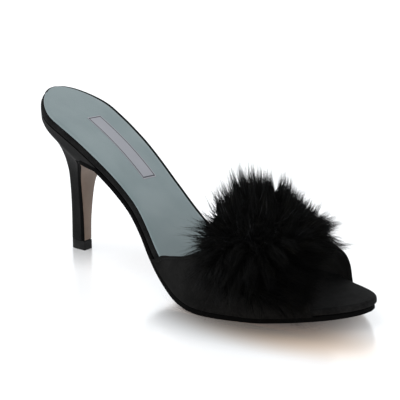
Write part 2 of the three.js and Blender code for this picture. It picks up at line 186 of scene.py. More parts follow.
def mix(a, b, share):
    return a + (b - a) * share


def smoothStep(low, high, x):
    t = min(max((x - low) / (high - low), 0), 1)
    return t * t * (3 - 2 * t)


# Both forms of a sum: with the value first, and with it last
def bothForms(operation):
    return (lambda a, b: a.maths(operation, a, b)), (lambda a, b: a.maths(operation, b, a))


# Shader and geometry nodes: a value is a socket that sums can be written with
class Value:
    def __init__(self, graph, socket):
        self.graph = graph
        self.socket = socket

    def maths(self, operation, a, b):
        return self.graph.node("ShaderNodeMath", {"operation": operation}, {0: a, 1: b})

    __add__, __radd__ = bothForms("ADD")
    __sub__, __rsub__ = bothForms("SUBTRACT")
    __mul__, __rmul__ = bothForms("MULTIPLY")
    __pow__, __rpow__ = bothForms("POWER")

    def out(self, name):
        return Value(self.graph, self.socket.node.outputs[name])


class Graph:
    def __init__(self, tree):
        self.tree = tree

    def node(self, kind, settings=None, inputs=None, output=0):
        made = self.tree.nodes.new(kind)
        for key, setting in (settings or {}).items():
            setattr(made, key, setting)
        for key, value in (inputs or {}).items():
            if isinstance(value, Value):
                self.tree.links.new(value.socket, made.inputs[key])
            else:
                made.inputs[key].default_value = value
        return Value(self, made.outputs[output]) if made.outputs else None


class Finish(Graph):
    def __init__(self, name, **constants):
        self.material = bpy.data.materials.new(name)
        self.material.use_nodes = True
        super().__init__(self.material.node_tree)
        self.tree.nodes.clear()
        self.shader = self.node("ShaderNodeBsdfPrincipled", None, constants)
        self.node("ShaderNodeOutputMaterial", None, {"Surface": self.shader})
        self.place = self.node("ShaderNodeTexCoord", None, None, "Object")

    def noise(self, size, detail, roughness, place=None):
        inputs = {"Vector": place or self.place, "Scale": 1 / size, "Detail": detail, "Roughness": roughness}
        return self.node("ShaderNodeTexNoise", None, inputs)

    def cells(self, size):
        inputs = {"Vector": self.place, "Scale": 1 / size}
        return self.node("ShaderNodeTexVoronoi", {"feature": "DISTANCE_TO_EDGE"}, inputs)

    def stretched(self, scale):
        return self.node("ShaderNodeMapping", None, {"Vector": self.place, "Scale": scale})

    def limit(self, value, low, high):
        inputs = {"Value": value, "From Min": low, "From Max": high}
        return self.node("ShaderNodeMapRange", {"clamp": True, "interpolation_type": "SMOOTHSTEP"}, inputs)

    def blend(self, share, a, b):
        settings = {"data_type": "RGBA", "clamp_factor": True}
        return self.node("ShaderNodeMix", settings, {0: share, 6: a, 7: b}, 2)

    def bump(self, height, depth, strength):
        return self.node("ShaderNodeBump", None, {"Height": height, "Distance": depth, "Strength": strength})

    def feed(self, **links):
        for name, value in links.items():
            self.tree.links.new(value.socket, self.shader.socket.node.inputs[name.replace("_", " ")])
        return self.material

    def surface(self, colour, roughness, height, depth, strength):
        return self.feed(Base_Color=colour, Roughness=roughness, Normal=self.bump(height, depth, strength))


def grey(level, warmth=0.0):
    return (level * (1 + warmth), level, level * (1 - warmth), 1)


def makeSuede(name, look):
    suede = Finish(name, **{"Sheen Weight": look["sheen"], "Sheen Roughness": 0.45,
                            "Sheen Tint": grey(0.8), "Specular IOR Level": 0.08})
    brushed = suede.limit(suede.noise(look["brushSize"], 4, 0.6), 0.35, 0.68)
    nap = suede.noise(look["napSize"], 5, 0.7)
    fibre = suede.noise(look["napSize"] * 0.35, 2, 0.6, suede.stretched((1.0, 1.7, 0.8)))
    light = 0.55 * brushed + 0.65 * suede.limit(nap, 0.36, 0.66) - 0.1
    colour = suede.blend(light, look["deep"], look["raised"])
    height = 0.6 * nap + 0.4 * fibre
    return suede.surface(colour, 0.84 + 0.12 * nap, height, look["napDepth"], 0.8)


suedeLook = {
    "deep": grey(0.0032, 0.03),
    "raised": grey(0.0108, 0.04),
    "sheen": 0.015,
    "brushSize": 0.011,
    "napSize": 0.0011,
    "napDepth": 0.00022,
}
suede = makeSuede("black suede", suedeLook)
wrapLook = dict(suedeLook, deep=grey(0.0048), raised=grey(0.0140), brushSize=0.008)
wrapSuede = makeSuede("black suede on the footbed", wrapLook)
# a darker copy of the black suede for the faces round the vamp's open edges: painted shade that keeps light
# off these rims
shadedEdgeLook = dict(suedeLook, deep=grey(0.0016), raised=grey(0.0042), sheen=0.0)
shadedEdgeSuede = makeSuede("suede edge with painted shade", shadedEdgeLook)
heelLook = dict(suedeLook, deep=grey(0.0062), raised=grey(0.0150), sheen=0.05, brushSize=0.014,
                napDepth=0.00012)
heelSuede = makeSuede("black suede on the heel", heelLook)


def makeSockLeather(look):
    leather = Finish("grey sock leather", **{"Coat Roughness": 0.35, "Specular IOR Level": 0.5})
    pores = leather.cells(look["grainSize"])
    crease = leather.limit(pores, 0.0, 0.22)
    cloud = leather.noise(0.030, 3, 0.5)
    fine = leather.noise(0.0016, 4, 0.6)
    tone = leather.blend(leather.limit(cloud, 0.3, 0.7), look["deep"], look["pale"])
    # painted shade: the leather is a little darker along the creases of its grain
    colour = leather.blend(0.10 * (1 - crease), tone, look["deep"])
    roughness = look["roughness"] + 0.12 * (fine - 0.5) + 0.06 * (cloud - 0.5)
    return leather.surface(colour, roughness, 0.5 * crease + 0.5 * fine, 0.00006, 0.55)


sockLook = {
    "deep": (0.196, 0.250, 0.258, 1),
    "pale": (0.240, 0.294, 0.302, 1),
    "grainSize": 0.0011,
    "roughness": 0.34,
}
sockLeather = makeSockLeather(sockLook)


def makeSoleLeather(look):
    leather = Finish("tan sole leather", **{"Specular IOR Level": 0.45})
    cloud = leather.noise(0.020, 4, 0.55)
    grain = leather.noise(0.0009, 4, 0.65)
    streaks = leather.noise(0.004, 3, 0.6)
    tone = leather.blend(leather.limit(cloud, 0.3, 0.7), look["deep"], look["pale"])
    colour = leather.blend(0.25 * leather.limit(streaks, 0.45, 0.75), tone, look["deep"])
    return leather.surface(colour, 0.42 + 0.2 * (grain - 0.5) + 0.1 * cloud, grain, 0.00005, 0.6)


soleLook = {
    "deep": (0.150, 0.104, 0.076, 1),
    "pale": (0.196, 0.140, 0.106, 1),
}
soleLeather = makeSoleLeather(soleLook)


def makePaint():
    paint = Finish("dark edge paint", **{"Specular IOR Level": 0.02})
    ripple = paint.noise(0.003, 3, 0.5)
    fine = paint.noise(0.0006, 2, 0.5)
    colour = paint.blend(ripple, grey(0.0018), grey(0.0045))
    return paint.surface(colour, 0.60 + 0.16 * fine, ripple, 0.00010, 0.5)


edgePaint = makePaint()


def makeRubber():
    rubber = Finish("black heel tip rubber", **{"Specular IOR Level": 0.2})
    speckle = rubber.noise(0.0005, 3, 0.7)
    wear = rubber.noise(0.004, 3, 0.6)
    colour = rubber.blend(rubber.limit(wear, 0.4, 0.7), grey(0.005), grey(0.013))
    return rubber.surface(colour, 0.52 + 0.2 * speckle, speckle, 0.00005, 0.5)


tipRubber = makeRubber()


def makeLining():
    lining = Finish("black vamp lining", **{"Specular IOR Level": 0.35})
    grain = lining.cells(0.0009)
    cloud = lining.noise(0.012, 3, 0.5)
    colour = lining.blend(cloud, grey(0.014, 0.08), grey(0.026, 0.08))
    return lining.surface(colour, 0.6 + 0.15 * cloud, grain, 0.00004, 0.5)


lining = makeLining()


def makeThread():
    thread = Finish("black thread", **{"Specular IOR Level": 0.15})
    twist = thread.noise(0.0004, 2, 0.5, thread.stretched((1, 2, 2)))
    colour = thread.blend(twist, grey(0.004), grey(0.011))
    return thread.surface(colour, 0.55 + 0.2 * twist, twist, 0.00005, 0.6)


thread = makeThread()
print("shoe finishes made")


def asMesh(name, bm):
    mesh = bpy.data.meshes.new(name)
    bm.to_mesh(mesh)
    bm.free()
    return mesh


def placed(name, data):
    made = bpy.data.objects.new(name, data)
    bpy.context.collection.objects.link(made)
    return made


# A mesh in millimetres becomes a piece that rides on the shoe, smooth but for edges over the sharp angle
def addPiece(name, mesh, finishes, slot, replaces=(), sharp=35):
    mesh.transform(Matrix.Translation(origin) @ Matrix.Scale(0.001, 4))
    for polygon in mesh.polygons:
        polygon.use_smooth = True
    if sharp:
        mesh.set_sharp_from_angle(angle=math.radians(sharp))
    for finish in finishes:
        mesh.materials.append(finish)
    piece = placed(name, mesh)
    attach(piece, "root")
    for node in replaces:
        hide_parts(node)
    print("made", name, len(mesh.polygons))


def makePiece(name, bm, *settings):
    addPiece(name, asMesh(name, bm), *settings)


def facesOut(bm, merge=0.01):
    bmesh.ops.remove_doubles(bm, verts=bm.verts, dist=merge)
    bmesh.ops.dissolve_degenerate(bm, edges=bm.edges, dist=merge / 4)
    bmesh.ops.recalc_face_normals(bm, faces=bm.faces)


def roundEdges(bm, edges, offset, segments, material):
    bmesh.ops.bevel(bm, geom=edges, offset=offset, offset_type="OFFSET", affect="EDGES", segments=segments,
                    profile=0.5, material=material, clamp_overlap=True)


# A sheet cut flat to an outline, with its corners rounded: x along, y across and z up from its lower face
def cutFlat(outline, thickness, rounded, cuts, rounding=4, insets=()):
    bm = bmesh.new()
    bmesh.ops.create_circle(bm, cap_ends=True, segments=len(outline), radius=1)
    bm.verts.ensure_lookup_table()
    for vert, (x, y) in zip(bm.verts, outline):
        vert.co = (x, y, 0)
    top = bmesh.ops.extrude_face_region(bm, geom=bm.faces[:])
    raised = [part for part in top["geom"] if isinstance(part, bmesh.types.BMVert)]
    bmesh.ops.translate(bm, vec=(0, 0, thickness), verts=raised)
    bmesh.ops.recalc_face_normals(bm, faces=bm.faces)
    rims = [edge for edge in bm.edges if abs(edge.verts[0].co.z - edge.verts[1].co.z) < 1e-6]
    roundEdges(bm, rims, rounded, rounding, -1)
    for inset in insets:
        top = max(bm.faces, key=lambda face: (round(face.calc_center_median().z, 3), face.calc_area()))
        bmesh.ops.inset_region(bm, faces=[top], thickness=inset, use_even_offset=True)
    for at, normal in cuts:
        bmesh.ops.bisect_plane(bm, geom=bm.verts[:] + bm.edges[:] + bm.faces[:], dist=1e-4,
                               plane_co=at, plane_no=normal)
    return bm


def evenly(low, high, count):
    return [mix(low, high, i / count) for i in range(count + 1)]


def crossCuts(low, high, count, lines):
    across = [((x, 0, 0), (1, 0, 0)) for x in evenly(low, high, count)[1:-1]]
    return across + [((0, y, 0), (0, 1, 0)) for y in lines]


# Steps round an outline: how far it has come between its two ends, and the side
def roundSteps(count):
    for i in range(2 * count):
        angle = math.pi * i / count
        yield (1 - math.cos(angle)) / 2, 1 if math.sin(angle) >= 0 else -1


# Outline of a bottom piece from the heel to length, with a round front where it stops short
def boardOutline(length, margin, frontRound=0, innerMargin=None):
    points = []
    for along, side in roundSteps(88):
        into = max(0, 1 - (1 - along) * length / frontRound) if frontRound else 0
        out = margin if side > 0 or innerMargin is None else innerMargin
        y = edgeY(along * length, -side, out) * math.sqrt(max(0, 1 - into**2))
        points.append((mix(-margin, length + margin, along), y))
    return points


# Lays a flat sheet on the last, with its upper face at a depth below the foot
def layOnLast(bm, thickness, depth, shape=lambda x, y: 0):
    for vert in bm.verts:
        x, y, z = vert.co
        vert.co = below(x, y, depth + thickness - z + shape(x, y) * (z / thickness))


footbed = cutFlat(boardOutline(footLength, bottom["footbedMargin"]), bottom["footbedThickness"],
                  bottom["footbedRound"], crossCuts(0, footLength, 64, bottom["lines"]))
layOnLast(footbed, bottom["footbedThickness"], footbedTop)
facesOut(footbed)
makePiece("footbed_wrap", footbed, [wrapSuede], "suede", ["footbed"])

sockShape = {
    "cup": 0.35,  # how deep the heel and the ball have sunk in, over this half width
    "cupWidth": 26,
    "seat": (26, 26),  # middle and half length of the heel's hollow, and of the ball's
    "ball": (138, 24),
    "rimInset": 0.9,  # the wrapped rim of the footbed covers this much of the inner edge
    "roll": 0.5,  # how far the edges roll down, over rollWidth
    "rollWidth": 3.0,
    "rollFrom": 20,
    "edgeRound": 0.4,
    "lines": (-24, -16, -8, 0, 8, 16, 24),
    "insets": (0.6, 0.8, 1.2),  # closer rings of faces along the edge
}


def sockSink(x, y):
    across = max(0, 1 - (y / sockShape["cupWidth"]) ** 2)
    hollows = [max(0, 1 - ((x - middle) / half) ** 2)
               for middle, half in (sockShape["seat"], sockShape["ball"])]
    toEdge = min(y - edgeY(x, -1, 0), edgeY(x, 1, -sockShape["rimInset"]) - y)
    rolled = max(0, 1 - max(0, toEdge) / sockShape["rollWidth"]) ** 2 * min(1, x / sockShape["rollFrom"])
    return sockShape["cup"] * across * max(hollows) + sockShape["roll"] * rolled


sock = cutFlat(boardOutline(bottom["sockLength"], 0, bottom["sockFrontRound"], -sockShape["rimInset"]),
               bottom["sockThickness"], sockShape["edgeRound"],
               crossCuts(0, bottom["sockLength"], 52, sockShape["lines"]), 3, sockShape["insets"])
layOnLast(sock, bottom["sockThickness"], 0, sockSink)
facesOut(sock)
makePiece("sock_lining_leather", sock, [sockLeather], "sock_leather", ["sock_lining"])

# The suede wrap of the footbed stands up as a thin rim behind the heel and along the inner edge
rim = {
    "outerEnd": 2.616,  # how far forward it reaches on the two sides
    "innerEnd": 152.6,
    "fineTo": 30,  # closer steps up to here
    "backTo": 24,  # its sides bend round to its back over this length
    "outside": 0.45,
    "inside": -0.75,
    "height": 1.42,
    "top": 0.08,
    "round": 0.35,
}


def rimLine(margin):
    outer = [(x, edgeY(x, -1, margin)) for x in evenly(rim["outerEnd"], 0, 8)[:-1]]
    ahead = evenly(0, rim["fineTo"], 40)[1:] + evenly(rim["fineTo"], rim["innerEnd"], 60)[1:]
    inner = [(x, edgeY(x, 1, margin)) for x in ahead]
    return [(x - margin * (1 - min(1, x / rim["backTo"])), y) for x, y in outer + [(0, 0)] + inner]


rimOutline = rimLine(rim["outside"]) + rimLine(rim["inside"])[::-1]
wrapRim = cutFlat(rimOutline, rim["height"], rim["round"], [], 3)
layOnLast(wrapRim, rim["height"], rim["top"])
facesOut(wrapRim)
makePiece("footbed_wrap_rim", wrapRim, [wrapSuede], "suede")

# A blank cloth patch on the sock lining: a cloth strip with a printed border
patch = {
    "from": (27.0, 4.0),
    "to": (71.7, 1.7),
    "width": 10.8,
    "thickness": 0.12,
    "corner": 0.8,
    "border": (0.6, 1.2),  # from the edge
    "raised": 0.01,
    "round": 0.04,
}


def patchPiece():
    start, end = Vector(patch["from"]), Vector(patch["to"])
    along = (end - start).normalized()
    length, half, corner = (end - start).length, patch["width"] / 2, patch["corner"]
    outline = []
    for quarter, (u, v) in enumerate([(length - corner, half - corner), (corner, half - corner),
                                      (corner, corner - half), (length - corner, corner - half)]):
        for i in range(5):
            angle = math.pi / 2 * (quarter + i / 4)
            outline.append((u + corner * math.cos(angle), v + corner * math.sin(angle)))
    near, far = patch["border"]
    lines = [near, far, length - far, length - near] + evenly(0, length, 20)[1:-1]
    cuts = [((u, 0, 0), (1, 0, 0)) for u in lines]
    cuts += [((0, v, 0), (0, 1, 0)) for v in (near - half, far - half, 0, half - far, half - near)]
    bm = cutFlat(outline, patch["thickness"], patch["round"], cuts, 2)
    for face in bm.faces:
        u, v, _ = face.calc_center_median()
        edge = min(u, length - u, half - abs(v))
        face.material_index = 1 if near < edge < far else 0
    for vert in bm.verts:
        u, v, z = vert.co
        x, y = start + along * u + Vector((-along.y, along.x)) * v
        vert.co = below(x, y, sockSink(x, y) - z - patch["raised"])
    facesOut(bm, 0.002)
    makePiece("blank_patch", bm, [patchCloth, patchPrint], "sock_leather")


def makeCloth(name, deep, pale):
    cloth = Finish(name, **{"Specular IOR Level": 0.25})
    weave = cloth.noise(0.0007, 2, 0.5, cloth.stretched((1, 2.2, 1)))
    cloud = cloth.noise(0.006, 3, 0.5)
    colour = cloth.blend(0.5 * weave + 0.5 * cloud, deep, pale)
    return cloth.surface(colour, 0.62 + 0.12 * weave, weave, 0.00003, 0.5)


patchCloth = makeCloth("pale patch cloth", (0.31, 0.315, 0.345, 1), (0.37, 0.375, 0.405, 1))
patchPrint = makeCloth("grey patch print", (0.05, 0.05, 0.06, 1), (0.09, 0.09, 0.10, 1))
patchPiece()

# The heel, from its tip (0) to the seat (1)
heel = {
    "tipHeight": 5.6,
    "tipSteps": 18,
    "tipLength": 12,
    "tipWidth": 6.6,
    "tipRound": 0.45,
    "breastX": 41.5,
    "wingX": 56,  # front ends of the wings under the footbed
    "bendStart": 0.86,
    "bendSharpness": 0.1,
    "wingStart": 0.9375,  # from here up the block widens to the seat and the wings
    "drawIn": 0.06,
    "intoSole": 0.15,
    "reach": 1.15,  # the heel's front is looked for up to here, as a share of its length
    "rings": 64,
    "facets": 26,
}
heelBack = curveThrough([
    (0, 0), (.20, -.030), (.35, -.045), (.50, -.027), (.62, .117), (.72, .345), (.82, .655), (.88, .820),
    (.93, .925), (1, 1)])
heelBreast = curveThrough([
    (0, 0), (.20, .012), (.35, .035), (.50, .070), (.62, .130), (.72, .300), (.82, .640), (.88, .820),
    (.93, .920), (1, 1)])
heelHalf = curveThrough([
    (0, 0), (.20, .016), (.35, .055), (.50, .110), (.62, .180), (.72, .300), (.82, .530), (.88, .740),
    (.93, .900), (1, 1)])
heelRound = curveThrough([
    (0, .42), (.50, .42), (.62, .43), (.72, .45), (.82, .48), (.88, .50), (.93, .51), (1, .53)])
tipLevel = heel["tipHeight"] + bottom["clearance"]
seatHalf = edgeY(heel["breastX"], 1, bottom["footbedMargin"])


def heelLine(up):
    seatBack = below(0, 0, soleTop)
    seatBreast = below(heel["breastX"], 0, bottomThickness)
    tipFront = last["heelTipX"] + heel["tipLength"]
    return {
        "back": Vector((mix(last["heelTipX"], seatBack.x, heelBack(up)), 0, mix(tipLevel, seatBack.z, up))),
        "breast": Vector((mix(tipFront, seatBreast.x, heelBreast(up)), 0, mix(tipLevel, seatBreast.z, up))),
        "half": mix(heel["tipWidth"] / 2, seatHalf, heelHalf(up)),
        "round": heelRound(up),
    }


def heelWidth(line, along):
    into = max(0, (line["round"] - along) / line["round"])
    past = max(0, along - line["round"])
    return line["half"] * math.sqrt(max(0, 1 - into**2)) * (1 - heel["drawIn"] * past)


# The sole in side view: up the breast, round the bend and along the last to the toe.
# A place is a point, the sole's two edges there, the run up to it and the way into the sole.
def solePath():
    places = []
    for up in evenly(0, heel["bendStart"], 18):
        line = heelLine(up)
        half = heelWidth(line, 1)
        places.append([line["breast"], -half, half])
    ahead = []
    for even in evenly(0, 1, 70):
        x = mix(heel["wingX"], footLength, mix(even, math.sin(math.pi * even / 2), 0.6))
        pastToe = soleMargin(1) * max(0, (x - footLength + last["toeTaper"]) / last["toeTaper"])
        margin = soleMargin(x / footLength)
        ahead.append([below(x + pastToe, 0, bottomThickness), edgeY(x, -1, margin), edgeY(x, 1, margin)])
    start, end = places[-1], ahead[0]
    corner = start[0].lerp(below(heel["breastX"], 0, bottomThickness), heel["bendSharpness"])
    for share in evenly(0, 1, 12)[1:-1]:
        point = start[0] * (1 - share) ** 2 + corner * 2 * share * (1 - share) + end[0] * share**2
        places.append([point, mix(start[1], end[1], share), mix(start[2], end[2], share)])
    places += ahead
    run = 0
    for i, place in enumerate(places):
        before = places[max(0, i - 1)][0]
        after = places[min(len(places) - 1, i + 1)][0]
        run += (place[0] - before).length
        inward = Vector((before.z - after.z, 0, after.x - before.x)).normalized()
        place += [run, Vector((-1, 0, 0)) if i == 0 else inward]
    return places


solePlaces = solePath()
soleRuns = [place[3] for place in solePlaces]


def onSole(run, y, depth):
    i = stepOf(soleRuns, run)
    a, b = solePlaces[i], solePlaces[i + 1]
    share = (run - a[3]) / (b[3] - a[3])
    point = a[0].lerp(b[0], share) + a[4].lerp(b[4], share).normalized() * depth
    return Vector((point.x, y, point.z))


soleOutline = [(run, outer) for _, outer, _, run, _ in solePlaces]
soleOutline += [(run, inner) for _, _, inner, run, _ in solePlaces[-2::-1]]
sole = cutFlat(soleOutline, bottom["soleThickness"], bottom["soleRound"],
               crossCuts(0, soleRuns[-1], 120, bottom["lines"]), 3)
for face in sole.faces:
    face.material_index = 0 if face.normal.z < bottom["soleFace"] else 1
for vert in sole.verts:
    vert.co = onSole(vert.co.x, vert.co.y, vert.co.z)
facesOut(sole)
makePiece("outsole_leather", sole, [soleLeather, edgePaint], "sole_leather", ["outsole"])


def soleDistance(point):
    gaps = []
    for (a, *_), (b, *_) in zip(solePlaces, solePlaces[1:]):
        side = b - a
        share = min(max((point - a).dot(side) / side.length_squared, 0), 1)
        gaps.append((point - a - side * share).length)
    return min(gaps)


# A point of the heel's outside: along runs from the back (0) to the front (1)
def heelPoint(up, along, side):
    line = heelLine(min(up, heel["wingStart"]))
    front = line["breast"] - Vector((bottom["soleThickness"] / 2, 0, 0))
    point = line["back"].lerp(front, along)
    point.y = side * heelWidth(line, along)
    if up <= heel["wingStart"]:
        return point
    x = along * heel["wingX"]
    seat = below(x, abs(side) * edgeY(x, side, bottom["footbedMargin"]), soleTop)
    return point.lerp(seat, (up - heel["wingStart"]) / (1 - heel["wingStart"]))


# How far forward the heel reaches until it is a little inside the sole's inner face
def heelFront(up):
    need = bottom["soleThickness"] - heel["intoSole"]
    low, high = 0, heel["reach"] if up <= heel["wingStart"] else 1
    for _ in range(18):
        middle = (low + high) / 2
        if soleDistance(heelPoint(up, middle, 0)) > need:
            low = middle
        else:
            high = middle
    return low


def heelBlock():
    facets, rings = 2 * heel["facets"], heel["rings"]
    fronts = [heelFront(i / rings) for i in range(rings + 1)]
    bm = bmesh.new()
    bmesh.ops.create_grid(bm, x_segments=facets, y_segments=rings + 2, size=0.5)
    for vert in bm.verts:
        angle = 2 * math.pi * round((vert.co.x + 0.5) * facets) / facets
        ring = round((vert.co.y + 0.5) * (rings + 2)) - 1
        side = 0 if ring in (-1, rings + 1) else 1 if angle < math.pi else -1
        ring = min(max(ring, 0), rings)
        vert.co = heelPoint(ring / rings, fronts[ring] * (1 - math.cos(angle)) / 2, side)
    facesOut(bm)
    return bm


makePiece("heel_cover", heelBlock(), [heelSuede], "suede", ["heel"], 50)


def topPiece():
    line = heelLine(0)
    outline = []
    for along, side in roundSteps(heel["tipSteps"]):
        x = mix(line["back"].x, line["breast"].x, along)
        outline.append((x, side * heelWidth(line, along)))
    corner = (line["breast"].x, -outline[heel["tipSteps"]][1])
    outline.insert(heel["tipSteps"], corner)
    return cutFlat(outline, heel["tipHeight"], heel["tipRound"], [], 3)


tip = topPiece()
facesOut(tip)
makePiece("heel_tip", tip, [tipRubber], "heel_tip", ["top_piece"], 40)

# The vamp: half oval sections, each from the outer feather line (angle 0) over the crest to the inner one
vamp = {
    "wall": 1.5,
    "ease": 0.2,
    "peepRise": 28.5,
    "instepRise": 58,
    "start": 104,
    "throatX": 150,
    "peepX": 185.4,
    "peepReach": 12,
    "fullness": 2.1,
    "across": 104,
    "rows": 52,
    "edgeRows": 12,  # closer rows along both open edges, over this width
    "edgeRun": 4.2,
    "fold": (2.5, 3.2),  # the suede is folded back along these edges, and slopes down between these distances
    "foldHeight": 0.15,
    "thinner": 0.1,  # the sheet is drawn thinner than the wall by this
    "rimAngle": 55,
    "rimRound": 0.45,
    "furPast": 6,  # fur is kept off the vamp, up to this far past the middle of the peep edge
    "furGap": 0.5,
}
vampDepth = soleTop - bottom["clearance"]
crestShare = curveThrough([(0, 0), (.20, .25), (.45, .52), (.70, .80), (.85, .93), (1, 1)])
throatOuter = curveThrough([(0, 0), (.08, .09), (.18, .30), (.31, .60), (.41, .78), (.67, .95), (1, 1)])
throatInner = curveThrough([(0, .04), (.08, .12), (.18, .32), (.31, .61), (.41, .79), (.67, .95), (1, 1)])
peepOuter = curveThrough([(0, 1), (.30, .65), (.65, .22), (1, 0)])
peepInner = curveThrough([(0, .06), (.30, .06), (.65, .03), (1, 0)])


# A section's margin round the last, its rise, its middle and its half width
def vampSection(x, grow):
    margin = bottom["footbedMargin"] + bottom["clearance"] + vamp["ease"] + vamp["wall"] + grow
    along = (vamp["peepX"] - x) / (vamp["peepX"] - vamp["start"])
    rise = mix(vamp["peepRise"], vamp["instepRise"], crestShare(along)) + grow
    outer, inner = edgeY(x, -1, margin), edgeY(x, 1, margin)
    return margin, rise, (outer + inner) / 2, (inner - outer) / 2


def vampPoint(x, angle, grow):
    margin, rise, middle, half = vampSection(x, grow)
    power = 2 / vamp["fullness"]
    y = middle - half * math.copysign(abs(math.cos(angle)) ** power, math.cos(angle))
    overFoot = rise * abs(math.sin(angle)) ** power - vampDepth
    outside = x + margin * (2 * x / footLength - 1)
    if overFoot < 0:
        return below(outside, y, -overFoot)
    return Vector((outside, y, lastHeight(outside) + overFoot))


# Height of the vamp's outer face over a place, or nothing beside it
def vampTop(x, y):
    _, rise, middle, half = vampSection(min(x, vamp["peepX"]), 0)
    sideways = abs(middle - y) / half
    if sideways >= 1:
        return None
    overFoot = rise * (1 - sideways ** vamp["fullness"]) ** (1 / vamp["fullness"])
    return lastHeight(x) + overFoot - vampDepth


# Where the vamp starts and ends at an angle round its section
def vampSpan(angle):
    up = 1 - abs(angle - math.pi / 2) / (math.pi / 2)
    outer = angle < math.pi / 2
    throat = throatOuter(up) if outer else throatInner(up)
    peep = peepOuter(up) if outer else peepInner(up)
    return mix(vamp["start"], vamp["throatX"], throat), vamp["peepX"] + vamp["peepReach"] * peep


# Angle round a section of a place at a share of its half width
def vampAngle(sideways):
    return math.acos(math.copysign(abs(sideways) ** (vamp["fullness"] / 2), -sideways))


# A point against the section at x: the section's middle and lowest height, then the point's share of its half
# width and of its whole size
def vampShare(point, x, grow):
    _, rise, middle, half = vampSection(x, grow)
    level = lastHeight(point.x) - vampDepth
    side, up = (point.y - middle) / half, max(0, point.z - level) / rise
    power = vamp["fullness"]
    return middle, level, side, (abs(side) ** power + up**power) ** (1 / power)


# Moves a point that is inside the vamp straight out of it, until it clears the outer face by a gap
def outOfVamp(point, gap):
    if point.x > vamp["peepX"] + vamp["furPast"]:
        return point
    middle, level, side, share = vampShare(point, point.x, gap)
    if share >= 1:
        return point
    share = max(0.05, share)
    start, end = vampSpan(vampAngle(math.copysign(min(1, abs(side / share)), side)))
    if point.x < start or point.x > end + 1:
        return point
    height = point.z - level
    raised = height / share if height > 0 else height
    return Vector((point.x, middle + (point.y - middle) / share, level + raised))


def vampLine(angle):
    start, end = vampSpan(angle)
    points = [vampPoint(mix(start, end, i / 24), angle, 0) for i in range(25)]
    runs = [0]
    for a, b in zip(points, points[1:]):
        runs.append(runs[-1] + (b - a).length)
    return points, runs


def alongLine(line, run):
    points, runs = line
    i = stepOf(runs, run)
    return points[i].lerp(points[i + 1], (run - runs[i]) / (runs[i + 1] - runs[i]))


def vampSheet():
    across, rows = vamp["across"], vamp["rows"]
    edgeRows, edgeRun = vamp["edgeRows"], vamp["edgeRun"]
    lines = [vampLine(math.pi * i / across) for i in range(across + 1)]
    bm = bmesh.new()
    bmesh.ops.create_grid(bm, x_segments=across, y_segments=rows, size=0.5)
    folds = {}
    for vert in bm.verts:
        line = lines[round((vert.co.x + 0.5) * across)]
        row = round((vert.co.y + 0.5) * rows)
        length = line[1][-1]
        if row <= edgeRows:
            run = edgeRun * row / edgeRows
        elif row >= rows - edgeRows:
            run = length - edgeRun * (rows - row) / edgeRows
        else:
            run = mix(edgeRun, length - edgeRun, (row - edgeRows) / (rows - 2 * edgeRows))
        folds[vert] = vamp["foldHeight"] * (1 - smoothStep(*vamp["fold"], min(run, length - run)))
        vert.co = alongLine(line, run)
    bmesh.ops.recalc_face_normals(bm, faces=bm.faces)
    middle = bm.faces[len(bm.faces) // 2]
    if middle.normal.z < 0:
        bmesh.ops.reverse_faces(bm, faces=bm.faces)
    bm.normal_update()
    for vert in bm.verts:
        vert.co += vert.normal * (folds[vert] - vamp["foldHeight"])
    bm.normal_update()
    outside = set(bm.faces)
    bmesh.ops.solidify(bm, geom=bm.faces[:], thickness=vamp["wall"] - vamp["thinner"])
    rims = {edge for edge in bm.edges if edge.calc_face_angle(0) > math.radians(vamp["rimAngle"])}
    # the faces round the rims take the darker copy of the suede: painted shade along the edges
    for face in bm.faces:
        if face not in outside:
            face.material_index = 2 if sum(edge in rims for edge in face.edges) > 1 else 1
    roundEdges(bm, list(rims), vamp["rimRound"], 3, 2)
    return bm


makePiece("vamp_suede", vampSheet(), [suede, lining, shadedEdgeSuede], "suede", ["upper"], 60)


# Stitches along the folded edges
def addStitches(name, spec):
    bm = bmesh.new()
    middle = 0.5 * (vamp["throatX"] + vamp["peepX"])
    points = []
    for i in range(spec["steps"] + 1):
        angle = math.pi * (spec["clear"] + (1 - 2 * spec["clear"]) * i / spec["steps"])
        line = vampLine(angle)
        run = spec["inset"] if spec["atThroat"] else line[1][-1] - spec["inset"]
        outward = vampPoint(middle, angle, 1) - vampPoint(middle, angle, 0)
        points.append((alongLine(line, run), outward.normalized()))
    run = 0
    nextStitch = spec["pitch"]
    for (a, outward), (b, _) in zip(points, points[1:]):
        step = (b - a).length
        while run + step > nextStitch:
            centre = a.lerp(b, (nextStitch - run) / step) + outward * spec["raised"]
            forward = (b - a).normalized()
            side = outward.cross(forward).normalized()
            up = forward.cross(side)
            turn = Matrix((forward, side, up)).transposed().to_4x4()
            size = Matrix.Diagonal((spec["length"] / 2, spec["width"] / 2, spec["width"] / 2, 1))
            bmesh.ops.create_uvsphere(bm, u_segments=6, v_segments=4, radius=1,
                                      matrix=Matrix.Translation(centre) @ turn @ size)
            nextStitch += spec["pitch"]
        run += step
    makePiece(name, bm, [thread], "suede")


throatStitch = {"atThroat": True, "inset": 2.3, "pitch": 2.4, "length": 1.8, "width": 0.34, "raised": 0.02,
                "steps": 240, "clear": 0.01}
peepStitch = dict(throatStitch, atThroat=False, inset=1.8)
addStitches("throat_stitches", throatStitch)
addStitches("peep_stitches", peepStitch)

